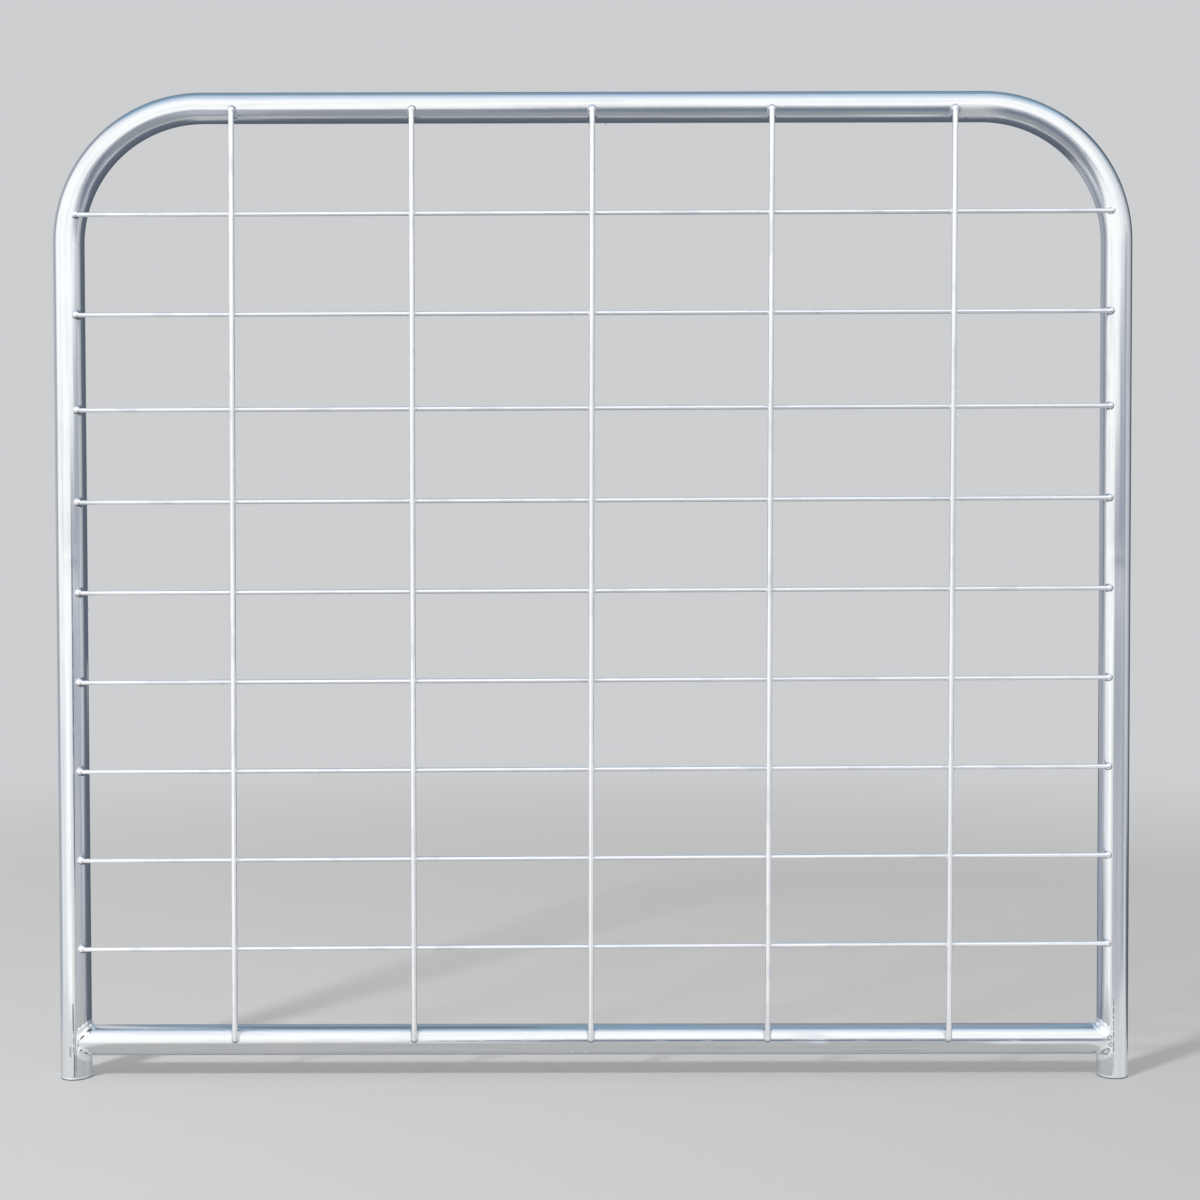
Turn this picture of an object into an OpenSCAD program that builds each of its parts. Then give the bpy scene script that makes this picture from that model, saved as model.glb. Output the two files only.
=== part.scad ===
/* [Frame tube] */
// Overall width, outside the two legs
gate_w = 1200; // [1000:10:1500]
// Overall height, from the feet to the top of the top rail
gate_h = 1100; // [900:10:1400]
// Outside diameter of the frame tube
tube_d = 33.7; // [26.9:0.1:42.4]
// Wall of the frame tube
tube_wall = 2; // [1.5:0.1:3.2]
// Radius of the two upper bends, on the tube's centre line
bend_r = 150; // [100:5:170]

/* [Bottom rail] */
// How far the legs run on below the bottom rail
foot_stub = 24.5; // [10:0.5:60]
// How far the rail's coped tips stop short of a leg's centre line
rail_tip = 9; // [6:0.5:11]
// Size of the weld bead between the rail and a leg
rail_bead = 3; // [2:0.5:4]

/* [Mesh] */
// Diameter of the upright wires, which lie in front
upright_d = 6; // [4:0.5:8]
// Diameter of the cross wires, which lie behind the uprights
cross_d = 5; // [4:0.5:6]
// How many upright wires fill the frame
upright_count = 5; // [3:1:5]
// Spacing of the upright wires
upright_pitch = 199; // [150:1:205]
// How many cross wires fill the frame
cross_count = 9; // [5:1:11]
// How much wider the gap under the top rail is than a plain one
row_top_widening = 0.2; // [0:0.01:0.4]
// How much wider the gap over the bottom rail is than a plain one
row_low_widening = 0.09; // [0:0.01:0.4]
// How much higher the lowest cross wire's right end was welded than its left end
row_rise_low = 5.2; // [0:0.1:8]
// How much higher the highest cross wire's right end was welded than its left end
row_rise_top = 2.2; // [0:0.1:8]
// How far the cross wires sit to the right of the middle
row_shift = 0.8; // [0:0.1:2]

/* [Wire welds] */
// How deep a wire sinks into what it is welded to
wire_sink = 1.2; // [0.4:0.1:1.5]
// How far the upright wires stop short of a rail's centre line
upright_short = 6; // [3:0.5:7]
// How far the cross wires stop short of a leg's centre line
cross_short = 11; // [6:0.5:12]
// Diameter of the weld around a wire's end
end_weld_d = 8.6; // [8.2:0.2:12]
// How far a weld stands out in front of an upright wire; three times as much in front of a cross wire
weld_proud = 0.4; // [0.2:0.1:0.8]

/* [Hidden] */
$fn = 96;
ZINC = [0.80, 0.83, 0.87];
WIRE_ZINC = [0.86, 0.88, 0.92];
WELD_ZINC = [0.72, 0.74, 0.77];
LEFT = 0;
RIGHT = 1;
// Sideways slips of the upright wires' feet and tops, as they were welded by hand
foot_slips = [-2.5, -1.5, -3.5, -5.5, -2.5];
top_slips = [0.5, 0, 0, -1, 1.5];
// The gaps between the cross wires open out towards the top by this power of the height
row_widening_power = 5;

tube_r = tube_d / 2;
upright_r = upright_d / 2;
cross_r = cross_d / 2;
leg_span = gate_w - tube_d;
rail_z = foot_stub + tube_r;
top_z = gate_h - tube_r;
leg_l = top_z - bend_r;
top_rail_l = leg_span - 2 * bend_r;
upright_y = -(tube_r + upright_r - wire_sink);
cross_y = upright_y + upright_r + cross_r - wire_sink;
end_weld_r = end_weld_d / 2;
// How far an end weld's middle lies behind its wire's centre line, so that it stands a little proud of the wire
upright_weld_back = end_weld_r - upright_r - weld_proud;
cross_weld_back = end_weld_r - cross_r - 3 * weld_proud;
// The rail bead starts this far from a leg's centre line and reaches this far from the tubes' centre lines
bead_toe = max(rail_tip - 2 * rail_bead, 1);
bead_r = tube_r + rail_bead;

uprights = [1:upright_count];
crosses = [1:cross_count];

// Distance of the bent tube's centre line from its tangent, a given way into a bend
function bend_drop(way) = way <= 0 ? 0 : bend_r - sqrt(bend_r * bend_r - way * way);
function leg_inset(z) = bend_drop(z - leg_l);
function top_drop(x) = bend_drop(max(bend_r - x, x - leg_span + bend_r));

// Ends of the upright wires, counted from the left
function upright_x(i, slips) = leg_span / 2 + (i - (upright_count + 1) / 2) * upright_pitch
    + (i <= len(slips) ? slips[i - 1] : 0);
function upright_foot(i) = [upright_x(i, foot_slips), upright_y, rail_z + upright_short];
function upright_top(i) = let (x = upright_x(i, top_slips)) [x, upright_y, top_z - top_drop(x) - upright_short];

// Ends of the cross wires, counted from the bottom
function row_gap(k) = 1 + row_top_widening * pow(k / cross_count, row_widening_power)
    + (k == 0 ? row_low_widening : 0);
function gaps_up_to(k) = k < 0 ? 0 : row_gap(k) + gaps_up_to(k - 1);
function cross_z(i) = rail_z + (top_z - rail_z) * gaps_up_to(i - 1) / gaps_up_to(cross_count);
function cross_rise(i) = row_rise_low + (row_rise_top - row_rise_low) * (i - 1) / (cross_count - 1);
function cross_inset(i) = max(cross_short, leg_inset(cross_z(i)) + cross_d);
function cross_left(i) = [cross_inset(i) + row_shift, cross_y, cross_z(i) - cross_rise(i) / 2];
function cross_right(i) = [leg_span - cross_inset(i) + row_shift, cross_y, cross_z(i) + cross_rise(i) / 2];

// Puts a piece that is drawn for the left leg on either leg
module on_side(side) {
    if (side == LEFT) children();
    else translate([leg_span, 0, 0]) mirror([1, 0, 0]) children();
}

module along_x(x, z) {
    translate([x, 0, z]) rotate([0, 90, 0]) children();
}

module tube_profile(hollow) {
    difference() {
        circle(r = tube_r);
        if (hollow) circle(r = tube_r - tube_wall);
    }
}

module leg(hollow) {
    linear_extrude(height = leg_l) tube_profile(hollow);
}

module bend(hollow) {
    translate([bend_r, 0, leg_l]) rotate([90, -90, 0]) rotate_extrude(angle = 90)
        translate([bend_r, 0]) tube_profile(hollow);
}

module upper_rail(hollow) {
    along_x(bend_r, top_z) linear_extrude(height = top_rail_l) tube_profile(hollow);
}

module lower_rail(hollow) {
    along_x(rail_tip, rail_z) linear_extrude(height = leg_span - 2 * rail_tip) tube_profile(hollow);
}

// The outside of the bent tube, as a cutter for what is coped or welded to it
module bent_tube_core() {
    for (side = [LEFT, RIGHT]) on_side(side) {
        leg(false);
        bend(false);
    }
    upper_rail(false);
}

// Draws along a wire in the gate's plane, with up as the way that it runs
module along_wire(at, way) {
    translate(at) rotate([0, atan2(way.x, way.z), 0]) children();
}

module wire_core(from, to, r) {
    along_wire(from, to - from) cylinder(r = r, h = norm(to - from));
}

// The weld round the far end of a wire, its middle set back from the wire's centre line
module end_weld_core(from, to, set_back) {
    along_wire(to, to - from) translate([0, set_back, 0]) rotate([0, 0, 90]) sphere(r = end_weld_r);
}

module upright_core(i) {
    wire_core(upright_foot(i), upright_top(i), upright_r);
}

module cross_core(i) {
    wire_core(cross_left(i), cross_right(i), cross_r);
}

// The bent tube, drawn as its straight and curved lengths
module side_leg(side) {
    color(ZINC) on_side(side) leg(true);
}

module side_bend(side) {
    color(ZINC) on_side(side) bend(true);
}

module top_rail() {
    color(ZINC) upper_rail(true);
}

// The bottom rail, its ends coped to the round of the legs
module bottom_rail() {
    color(ZINC) difference() {
        lower_rail(true);
        for (side = [LEFT, RIGHT]) on_side(side) leg(false);
    }
}

// The bead round the coped end of the bottom rail, from a thin toe on the leg's front to a fillet in the corners
module rail_weld(side) {
    thin = rail_bead / 5;
    color(WELD_ZINC) on_side(side) difference() {
        intersection() {
            along_x(0, rail_z) rotate_extrude() polygon([
                [0, bead_toe],
                [tube_r - thin, bead_toe],
                [bead_r, bead_toe + 2 * rail_bead],
                [bead_r, tube_r - thin],
                [tube_r - thin, bead_r],
                [0, bead_r]
            ]);
            translate([0, 0, rail_z - bead_r]) cylinder(r = bead_r, h = 2 * bead_r);
        }
        leg(false);
        lower_rail(false);
    }
}

module upright_wire(i) {
    color(WIRE_ZINC) difference() {
        upright_core(i);
        bent_tube_core();
        lower_rail(false);
    }
}

// A cross wire, coped to the legs and notched where the uprights sink in
module cross_wire(i) {
    color(WIRE_ZINC) difference() {
        cross_core(i);
        bent_tube_core();
        for (k = uprights) upright_core(k);
    }
}

module top_rail_wire_welds() {
    color(WELD_ZINC) for (i = uprights) difference() {
        end_weld_core(upright_foot(i), upright_top(i), upright_weld_back);
        bent_tube_core();
        upright_core(i);
    }
}

module bottom_rail_wire_welds() {
    color(WELD_ZINC) for (i = uprights) difference() {
        end_weld_core(upright_top(i), upright_foot(i), upright_weld_back);
        lower_rail(false);
        upright_core(i);
    }
}

module leg_wire_welds(side) {
    color(WELD_ZINC) for (i = crosses) difference() {
        if (side == LEFT) end_weld_core(cross_right(i), cross_left(i), cross_weld_back);
        else end_weld_core(cross_left(i), cross_right(i), cross_weld_back);
        on_side(side) {
            leg(false);
            bend(false);
        }
        cross_core(i);
    }
}

side_leg(LEFT);  // left_leg
side_leg(RIGHT);  // right_leg
side_bend(LEFT);  // left_bend
side_bend(RIGHT);  // right_bend
top_rail();
bottom_rail();
rail_weld(LEFT);  // left_rail_weld
rail_weld(RIGHT);  // right_rail_weld
for (i = uprights) upright_wire(i);
for (i = crosses) cross_wire(i);
top_rail_wire_welds();
bottom_rail_wire_welds();
leg_wire_welds(LEFT);  // left_leg_wire_welds
leg_wire_welds(RIGHT);  // right_leg_wire_welds
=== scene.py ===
import math
import random
from collections.abc import Callable
from typing import NamedTuple

import bmesh
import bpy
from mathutils import Matrix, Vector, noise


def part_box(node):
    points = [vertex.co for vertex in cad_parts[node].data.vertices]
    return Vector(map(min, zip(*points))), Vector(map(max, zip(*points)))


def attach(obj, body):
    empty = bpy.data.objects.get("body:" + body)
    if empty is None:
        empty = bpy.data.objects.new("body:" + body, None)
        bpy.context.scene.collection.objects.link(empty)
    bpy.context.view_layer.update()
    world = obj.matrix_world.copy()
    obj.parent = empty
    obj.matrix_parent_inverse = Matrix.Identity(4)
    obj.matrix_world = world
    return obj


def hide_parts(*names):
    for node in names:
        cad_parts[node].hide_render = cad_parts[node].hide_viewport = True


bl_info = {
    "name": "Galvanised gate",
    "version": (1, 1, 0),
    "blender": (4, 5, 0),
    "location": "View3D > Sidebar > Gate",
    "description": "Zinc finishes, welds and studio for a tube gate with a wire mesh",
    "category": "Object",
}

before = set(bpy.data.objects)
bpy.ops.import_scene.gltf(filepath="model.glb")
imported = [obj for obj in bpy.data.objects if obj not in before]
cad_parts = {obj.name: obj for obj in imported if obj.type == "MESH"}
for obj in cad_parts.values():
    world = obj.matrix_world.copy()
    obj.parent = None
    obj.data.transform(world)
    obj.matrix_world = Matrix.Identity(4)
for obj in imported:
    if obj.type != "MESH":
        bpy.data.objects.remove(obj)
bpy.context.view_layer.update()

MM = 0.001
ROOT = "root"
UPRIGHTS = sorted(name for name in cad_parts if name.startswith("upright_wire_"))
CROSSES = sorted(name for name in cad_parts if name.startswith("cross_wire_"))


def middle(node):
    """The middle of a CAD node's box."""
    low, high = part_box(node)
    return (low + high) / 2


# Sizes and places of the frame tube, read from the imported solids
LEFT_X = middle("left_leg").x
RIGHT_X = middle("right_leg").x
LEG_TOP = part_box("left_leg")[1].z
TUBE_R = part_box("left_leg")[1].x - LEFT_X
TOP_Z = middle("top_rail").z
RAIL_Z = middle("bottom_rail").z
RAIL_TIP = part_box("bottom_rail")[0].x - LEFT_X
BEND_R = TOP_Z - LEG_TOP
ARCH_MIDDLE = (LEFT_X + RIGHT_X) / 2


class Wire:
    """A straight mesh wire, read from its CAD node: its ends, its way and its radius."""

    def __init__(self, node):
        low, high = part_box(node)
        self.r = (high.y - low.y) / 2
        self.y = (low.y + high.y) / 2
        if node in UPRIGHTS:
            self.start = Vector((low.x + self.r, self.y, low.z))
            self.end = Vector((high.x - self.r, self.y, high.z))
        else:
            self.start = Vector((low.x, self.y, low.z + self.r))
            self.end = Vector((high.x, self.y, high.z - self.r))
        self.way = (self.end - self.start).normalized()

    def crossing(self, other):
        """Where another wire crosses this one, seen from the front."""
        gap = other.start - self.start
        turn = self.way.x * other.way.z - self.way.z * other.way.x
        return self.start + self.way * ((gap.x * other.way.z - gap.z * other.way.x) / turn)


WIRES = {node: Wire(node) for node in UPRIGHTS + CROSSES}


def tube_front(offset):
    """How far forward the face of a tube lies at an offset from its centre line."""
    return -math.sqrt(max(TUBE_R ** 2 - offset ** 2, 0.0))


def arch_offset(x, z):
    """Offset of a point in the gate's plane from the bent tube's centre line."""
    if z <= LEG_TOP:
        return min(abs(x - LEFT_X), abs(x - RIGHT_X))
    if LEFT_X + BEND_R <= x <= RIGHT_X - BEND_R:
        return abs(z - TOP_Z)
    bend_x = LEFT_X + BEND_R if x < ARCH_MIDDLE else RIGHT_X - BEND_R
    return abs(math.hypot(x - bend_x, z - LEG_TOP) - BEND_R)


def rail_offset(x, z):
    """Offset of a point in the gate's plane from the bottom rail's centre line."""
    return abs(z - RAIL_Z)


def colour_of(name, description, default):
    return bpy.props.FloatVectorProperty(name=name, description=description, subtype="COLOR", default=default)


def length_of(name, description, default_mm):
    return bpy.props.FloatProperty(name=name, description=description, unit="LENGTH", default=default_mm * MM)


def turn_of(name, description, degrees):
    return bpy.props.FloatProperty(
        name=name, description=description, unit="ROTATION", default=math.radians(degrees)
    )


class ZincLook(bpy.types.PropertyGroup):
    """Colours and gloss of the zinc."""

    tube_colour: colour_of("Tube zinc", "Colour of the frame tube's zinc", (0.715, 0.745, 0.79))
    wire_colour: colour_of("Wire zinc", "Colour of the mesh wires' zinc", (0.9, 0.915, 0.95))
    weld_colour: colour_of("Weld zinc", "Colour of the zinc over the welds", (0.86, 0.875, 0.91))
    patch_colour: colour_of("Patch", "Colour of the matt patch on the top rail", (0.88, 0.895, 0.92))
    # Also paints the left leg's line, which is partly a painted dark reflection edge
    seam_and_reflection_colour: colour_of("Seam", "Colour of the seam along the bottom rail", (0.24, 0.29, 0.40))
    dull_colour: colour_of("Dull zinc", "Colour of streaks and marks in the zinc", (0.46, 0.50, 0.57))
    # The pits' colour also paints shade: the contact shade at the feet and the crescents on the weld caps
    pit_and_shade_colour: colour_of("Bare pits", "Colour of pits and scratches through the zinc", (0.07, 0.085, 0.11))
    # Also paints the feet's bright rim, which is partly a painted highlight
    bright_zinc_and_highlight_colour: colour_of("Bright zinc", "Colour of the rail beads and the feet's edges", (0.86, 0.885, 0.93))
    edge_tint: colour_of("Edge tint", "Reflection of the zinc near its edges", (0.5, 0.53, 0.56))
    gloss: bpy.props.FloatProperty(
        name="Roughness",
        description="Roughness of clean zinc",
        subtype="FACTOR",
        min=0.0,
        max=1.0,
        default=0.2,
    )


class WeldSizes(bpy.types.PropertyGroup):
    """Sizes of the welds and of the zinc lumps on them."""

    top_cap_r: length_of("Top caps", "Radius of the weld caps on the top rail", 4.6)
    bottom_cap_r: length_of("Bottom caps", "Radius of the weld caps on the bottom rail", 3.8)
    left_cap_r: length_of("Left caps", "Radius of the weld caps on the left leg", 4.9)
    right_cap_r: length_of("Right caps", "Radius of the weld caps on the right leg", 4.3)
    cap_proud: length_of("Cap height", "How far a cap stands out in front of an upright wire", 0.2)
    skirt_w: length_of("Skirts", "Width of the zinc between a cross wire and a leg", 2.6)
    rail_skirt_w: length_of("Rail skirts", "Width of the zinc between an upright wire and a rail", 0.35)
    bead_coat: length_of("Rail bead", "Thickness of the bead over the bottom rail's coped end", 0.8)
    bead_fillet: length_of("Bead fillet", "Softness of the bead in the corners", 3.2)
    ripple_pitch: length_of("Ripples", "Spacing of the ripples along the rail bead", 5.2)
    spur_r: length_of("Spurs", "Radius of the spurs of weld in the corners over the bottom rail", 2.0)
    fillet_r: length_of("Crossing fillet", "Radius of the zinc in the corners where two wires cross", 4.3)
    nub_r: length_of("Nubs", "Radius of the zinc nubs left by the bath", 0.8)


class PhotoView(bpy.types.PropertyGroup):
    """The camera's place and lens."""

    place: bpy.props.FloatVectorProperty(
        name="Place",
        description="Where the camera stands",
        subtype="TRANSLATION",
        unit="LENGTH",
        default=(0.5935, -1.9017, 0.5832),
    )
    yaw: turn_of("Yaw", "Turn to the right", -0.083)
    pitch: turn_of("Pitch", "Tilt upwards", -1.425)
    roll: turn_of("Roll", "Turn about the line of sight", -0.11)
    lens: bpy.props.FloatProperty(
        name="Lens", description="Focal length in mm on a sensor 36 mm wide", default=51.0
    )


class StudioLook(bpy.types.PropertyGroup):
    """Floor, backdrop, boards and lamp."""

    pale: colour_of("Backdrop", "Colour of the backdrop and of the far floor", (0.61, 0.62, 0.635))
    zenith: colour_of("Overhead", "Colour above the gate", (0.31, 0.45, 0.57))
    nadir: colour_of("Underneath", "Colour below the gate", (0.35, 0.355, 0.365))
    floor: colour_of("Floor", "Colour of the floor near the gate", (0.80, 0.80, 0.80))
    white: colour_of("White boards", "Light of the boards in front", (1.34, 1.31, 1.25))
    side: colour_of("Side board", "Light of the board on the left", (1.03, 1.03, 1.03))
    roof_front: colour_of("Roof, front", "Light of the board overhead in front", (1.06, 1.12, 1.18))
    roof_back: colour_of("Roof, back", "Light of the board overhead", (0.74, 0.89, 1.04))
    card: colour_of("Floor card", "Light of the card on the floor in front", (0.58, 0.57, 0.55))
    dusk: colour_of("Dusk board", "Light of the grey board on the right", (0.43, 0.46, 0.52))
    shade: colour_of("Shade", "Light of the level board's left half, seen from above", (0.33, 0.355, 0.39))
    flag: colour_of("Flags", "Light of the dark flags", (0.14, 0.165, 0.20))
    ambient: bpy.props.FloatProperty(
        name="Ambient", description="Brightness of the light from all round on the floor", default=0.5
    )
    lamp: bpy.props.FloatProperty(
        name="Lamp", description="Power of the lamp that gives the floor its shadow", default=70.0
    )


def look(name):
    """A property group of the scene by its attribute's name."""
    return getattr(bpy.context.scene, name)


class Level:
    """A shader socket that takes part in Python sums."""

    def __init__(self, sheet, socket):
        self.sheet = sheet
        self.socket = socket

    def _maths(self, operation, first, second):
        return self.sheet.add("ShaderNodeMath", {"operation": operation}, {0: first, 1: second})

    def __add__(self, other):
        return self._maths("ADD", self, other)

    def __radd__(self, other):
        return self._maths("ADD", other, self)

    def __sub__(self, other):
        return self._maths("SUBTRACT", self, other)

    def __rsub__(self, other):
        return self._maths("SUBTRACT", other, self)

    def __mul__(self, other):
        return self._maths("MULTIPLY", self, other)

    def __abs__(self):
        return self._maths("ABSOLUTE", self, 0.0)

    def angle_to(self, other):
        """The angle whose tangent is this number over another."""
        return self._maths("ARCTAN2", self, other)

    def or_more(self, other):
        """The larger of two numbers."""
        return self._maths("MAXIMUM", self, other)

    def with_side(self, other):
        """The long side of a right triangle on two others."""
        return self._maths("SQRT", self * self + other * other, 0.0)


class Sheet:
    """A node tree that is filled by expressions."""

    def __init__(self, tree):
        self.tree = tree
        tree.nodes.clear()

    def add(self, kind, settings=None, sockets=None, output=0):
        """Adds a node of a kind, with its settings first and then its sockets' values or links."""
        node = self.tree.nodes.new(kind)
        for name, value in (settings or {}).items():
            if name == "stops":
                self._set_stops(node.color_ramp, value)
            else:
                setattr(node, name, value)
        for key, value in (sockets or {}).items():
            socket = node.inputs[key]
            if isinstance(value, Level):
                self.tree.links.new(value.socket, socket)
            else:
                socket.default_value = value
        return Level(self, node.outputs[output]) if len(node.outputs) else node

    def _set_stops(self, ramp, stops):
        while len(ramp.elements) < len(stops):
            ramp.elements.new(1.0)
        for element, (place, colour) in zip(ramp.elements, stops):
            element.position = place
            element.color = (*colour, 1.0)

    def parts(self, vector):
        """The three numbers of a vector socket."""
        node = self.add("ShaderNodeSeparateXYZ", None, {"Vector": vector}).socket.node
        return [Level(self, socket) for socket in node.outputs]

    def vector(self, x, y, z):
        return self.add("ShaderNodeCombineXYZ", None, {"X": x, "Y": y, "Z": z})

    def scaled(self, vector, scale):
        return self.add("ShaderNodeVectorMath", {"operation": "SCALE"}, {0: vector, "Scale": scale})

    def grain(self, vector, scale, detail):
        """Smooth noise between 0 and 1 at a scale in cells a metre."""
        sockets = {"Vector": vector, "Scale": scale, "Detail": detail, "Roughness": 0.55}
        return self.add("ShaderNodeTexNoise", {"noise_dimensions": "3D"}, sockets)

    def ease(self, value, low, high):
        """A smooth step from 0 where a value is low to 1 where it is high."""
        sockets = {0: value, 1: low, 2: high, 3: 0.0, 4: 1.0}
        return self.add("ShaderNodeMapRange", {"interpolation_type": "SMOOTHSTEP"}, sockets)

    def stretch(self, value, low, high, edge):
        """One where a value lies between two others, with soft edges."""
        return self.ease(value, low - edge, low + edge) * self.ease(value, high + edge, high - edge)

    def blend(self, share, first, second):
        """A colour between two others."""
        sockets = {"Factor": share, 6: first, 7: second}
        return self.add("ShaderNodeMix", {"data_type": "RGBA"}, sockets, output=2)


def rgba(colour):
    return (*colour, 1.0)


class Paint(Sheet):
    """The node tree of a new material."""

    def __init__(self, name):
        self.material = bpy.data.materials.new(name)
        self.material.use_nodes = True
        super().__init__(self.material.node_tree)

    def cover(self, shader):
        """Ends the tree in a shader and gives the material."""
        self.add("ShaderNodeOutputMaterial", None, {"Surface": shader})
        return self.material

    def glow(self, light):
        return self.add("ShaderNodeEmission", None, {"Color": rgba(light), "Strength": 1.0})


class Zinc(Paint):
    """A zinc finish: a metal whose colour, gloss and bump follow the surface."""

    def __init__(self, name):
        super().__init__(name)
        self.place = self.add("ShaderNodeTexCoord", output="Object")
        self.x, self.y, self.z = self.parts(self.place)

    def front(self):
        """One on the front of a tube, fading out round its sides."""
        return self.ease(self.y, 0.0, -0.5 * TUBE_R)

    def close(self, colour, roughness, height):
        """Ends the finish in a metal shader."""
        bump = self.add("ShaderNodeBump", None, {"Strength": 1.0, "Distance": 1.0, "Height": height})
        sockets = {
            "Base Color": colour,
            "Roughness": roughness,
            "Metallic": 1.0,
            "Specular Tint": rgba(look("zinc_look").edge_tint),
            "Normal": bump,
        }
        return self.cover(self.add("ShaderNodeBsdfPrincipled", None, sockets))


# Places on the frame tube: across it, and along its centre line from the left foot
ARCH_LENGTH = 2 * LEG_TOP + BEND_R * math.pi + RIGHT_X - LEFT_X - 2 * BEND_R
# The bottom rail is another tube, so its streaks start further along than the arch's end
RAIL_START = 7.0


def along_left_leg(z):
    return z.x - LEFT_X, z.z


def along_left_bend(z):
    return bend_place(z, LEFT_X + BEND_R, 1.0)


def along_top_rail(z):
    start = LEG_TOP + BEND_R * math.pi / 2
    return TOP_Z - z.z, z.x - (LEFT_X + BEND_R) + start


def along_right_bend(z):
    across, along = bend_place(z, RIGHT_X - BEND_R, -1.0)
    return across, ARCH_LENGTH - along


def along_right_leg(z):
    return RIGHT_X - z.x, ARCH_LENGTH - z.z


def along_bottom_rail(z):
    return RAIL_Z - z.z, z.x + RAIL_START


def bend_place(z, centre_x, side):
    sideways = (centre_x - z.x) * side
    upwards = z.z - LEG_TOP
    return BEND_R - sideways.with_side(upwards), upwards.angle_to(sideways) * BEND_R + LEG_TOP


TUBES = {
    "left_leg": along_left_leg,
    "left_bend": along_left_bend,
    "top_rail": along_top_rail,
    "right_bend": along_right_bend,
    "right_leg": along_right_leg,
    "bottom_rail": along_bottom_rail,
}

# The legs and the places of their centre lines
LEGS = {"left_leg": LEFT_X, "right_leg": RIGHT_X}
# Scratches on the legs' fronts, in mm: sideways, lowest, highest, half width, and how broken
SCRATCHES = {
    "left_leg": [
        (1.7, 56, 86, 0.9, 0.2),
        (1.8, 30, 56, 0.45, 0.5),
        (2.6, 4, 30, 0.8, 0.3),
        (4.2, 11, 27, 0.5, 0.3),
    ],
    "right_leg": [(-3.4, 26, 92, 0.7, 0.55), (-4.6, 300, 420, 0.4, 0.7)],
}
# Places where a stop rubbed the left leg, in mm: sideways, lowest, highest and half width
RUBS = {"left_leg": [(-1.8, 26, 38, 1.4)]}
# How strongly the drawn bands show on a leg, and on the other tubes
LEG_BANDS = 0.36
OTHER_BANDS = 0.3
# The matt patch of zinc by the last upright's weld on the top rail: its middle and half its width and height
PATCH_X = RIGHT_X - BEND_R - 16 * MM
PATCH_Z = TOP_Z - 7.5 * MM
PATCH_HALF = (12 * MM, 7 * MM)
# The tubes' seams, in mm: how far up or right of the middle, and where each fades in and out along its tube.
# On the left leg the line follows the sharp step of the reflection, so there it is partly the tube's seam and
# partly a painted dark reflection edge.
SEAM_AND_REFLECTION_LINES = {"bottom_rail": (2.7, 330, 480, 1140, 1160), "left_leg": (4.8, 200, 260, 560, 680)}
# How far seams and scratches wander sideways
WANDER = 0.9 * MM


def patch_on(z):
    """A matt patch of zinc on the front of the top rail, with a long soft edge on its right."""
    rough = (z.grain(z.place, 120.0, 3.0) - 0.5) * (5 * MM)
    half_w, half_h = PATCH_HALF
    from_left = z.ease(z.x + rough, PATCH_X - half_w - 2 * MM, PATCH_X - half_w + 2 * MM)
    to_right = z.ease(z.x + rough, PATCH_X + half_w + 34 * MM, PATCH_X + half_w - 3 * MM)
    upright = z.ease(abs(z.z - PATCH_Z) + rough, half_h + 2 * MM, half_h - 2 * MM)
    return from_left * to_right * upright * z.ease(z.y, -0.2 * TUBE_R, -0.4 * TUBE_R)


def seam_and_reflection_line_on(z, node):
    """The fine seam along the front of a tube, broken here and there; on the left leg it is partly a painted
    dark reflection edge.
    """
    aside, start, full, fading, end = (value * MM for value in SEAM_AND_REFLECTION_LINES[node])
    along, across = (z.z, z.x) if node in LEGS else (z.x, z.z)
    wander = (z.grain(z.vector(along, 0.0, 0.0), 22.0, 2.0) - 0.5) * WANDER
    line = z.ease(abs(across - (LEGS.get(node, RAIL_Z) + aside) + wander), 1.0 * MM, 0.35 * MM)
    line = line * z.ease(along, start, full) * z.ease(along, end, fading)
    breaks = z.ease(z.grain(z.vector(along, 3.0, 0.0), 30.0, 2.0), 0.25, 0.5)
    return line * z.front() * breaks


def scratches_on(z, node):
    """Broken dark lines along a leg's front."""
    total = 0.0
    for aside, low, high, half, broken in SCRATCHES[node]:
        wander = (z.grain(z.vector(0.0, aside, z.z), 60.0, 2.0) - 0.5) * WANDER
        off = abs(z.x - (LEGS[node] + aside * MM) + wander)
        line = z.ease(off, half * MM, 0.35 * half * MM) * z.stretch(z.z, low * MM, high * MM, 2.5 * MM)
        gap = 0.5 * broken + 0.16
        total = total + line * z.ease(z.grain(z.vector(aside, 0.0, z.z), 190.0, 2.0), gap, gap + 0.1)
    return z.ease(total, 0.0, 1.0) * z.front()


def rubs_on(z, node):
    """Short dull slots that something rubbed into a leg's front."""
    total = 0.0
    for aside, low, high, half in RUBS.get(node, []):
        slot = z.ease(abs(z.x - (LEGS[node] + aside * MM)), half * MM, 0.6 * half * MM)
        total = total + slot * z.stretch(z.z, low * MM, high * MM, 1.2 * MM)
    return z.front() * total


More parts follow.
